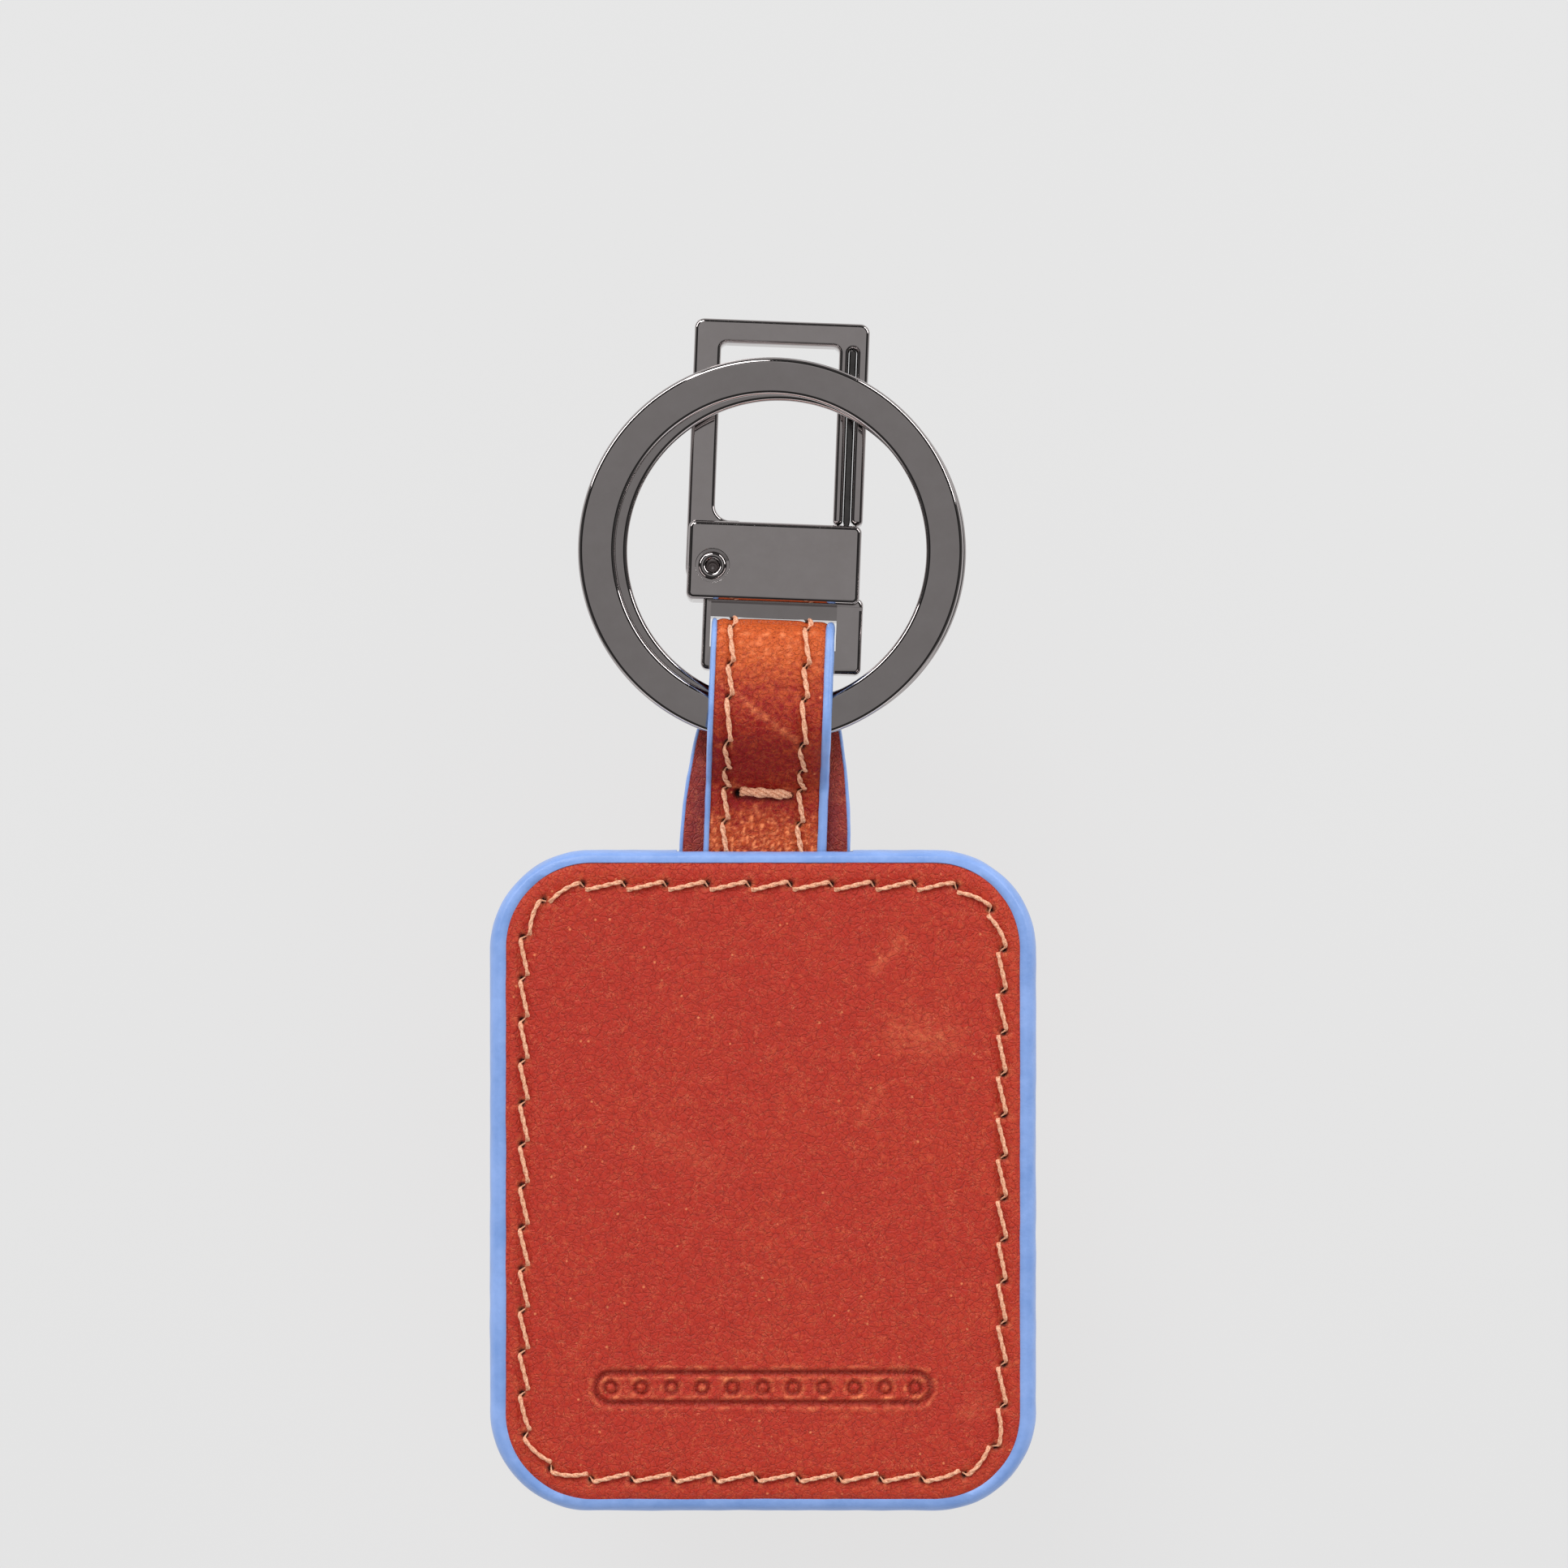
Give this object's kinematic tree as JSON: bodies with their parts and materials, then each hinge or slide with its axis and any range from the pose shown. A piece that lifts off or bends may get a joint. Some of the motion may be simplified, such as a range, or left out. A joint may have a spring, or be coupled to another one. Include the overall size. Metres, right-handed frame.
{
  "type": "leather keychain",
  "caption": "Rounded leather tag with painted edges and a stitched seam, on a folded leather strap that holds a flat split ring and a swinging metal hook clip.",
  "frame": {"origin": "middle of the underside, on the surface that the keychain lies on", "axes": "+X across the tag to the right seen from the front, +Y from the tag to the clip, +Z out of the tag's front"},
  "size_m": [0.0456, 0.0994, 0.0083],
  "materials": {
    "leather": "polished red-brown, orange towards the edges",
    "lining": "plain, matte",
    "edge_paint": "satin sky-blue edge paint",
    "thread": "waxed twisted polyester",
    "board": "bonded leather board",
    "gunmetal": "polished dark nickel plate",
    "spring_steel": "bright, rolled"
  },
  "bodies": {
    "tag": {"front_leather": "leather", "back_leather": "leather", "stiffener_core": "board", "edge_coat": "edge_paint", "needle_thread": "thread", "bobbin_thread": "thread", "strap_tail": "leather"},
    "strap": {"strap_leather": "leather", "strap_lining": "lining", "strap_edge_left": "edge_paint", "strap_edge_right": "edge_paint", "strap_thread_left": "thread", "strap_thread_right": "thread", "bar_tack": "thread"},
    "ring": {"split_ring": "gunmetal"},
    "clip": {"clip_body": "gunmetal", "pivot_rivet": "gunmetal"},
    "hook": {"hook_frame": "gunmetal", "latch_blade": "spring_steel"}
  },
  "joints": [
    {"name": "strap_flex", "type": "hinge", "parent": "tag", "child": "strap", "pos_m": [0.00001, 0.00569, 0.0026], "axis": [0.9993, -0.0384, 0], "range_deg": [-30, 30], "stiffness_Nm_per_rad": 0.05},
    {"name": "ring_swing", "type": "hinge", "parent": "strap", "child": "ring", "pos_m": [0.00043, 0.01653, 0.00415], "axis": [0.9993, -0.0384, 0], "range_deg": [0, 120]},
    {"name": "clip_swing", "type": "hinge", "parent": "strap", "child": "clip", "pos_m": [0.0006, 0.02108, 0.00305], "axis": [0.9993, -0.0384, 0], "range_deg": [-95, 0]},
    {"name": "hook_open", "type": "hinge", "parent": "clip", "child": "hook", "pos_m": [-0.0042, 0.0289, 0.00255], "axis": [0.0025, 0.0651, 0.9979], "range_deg": [0, 50]}
  ]
}
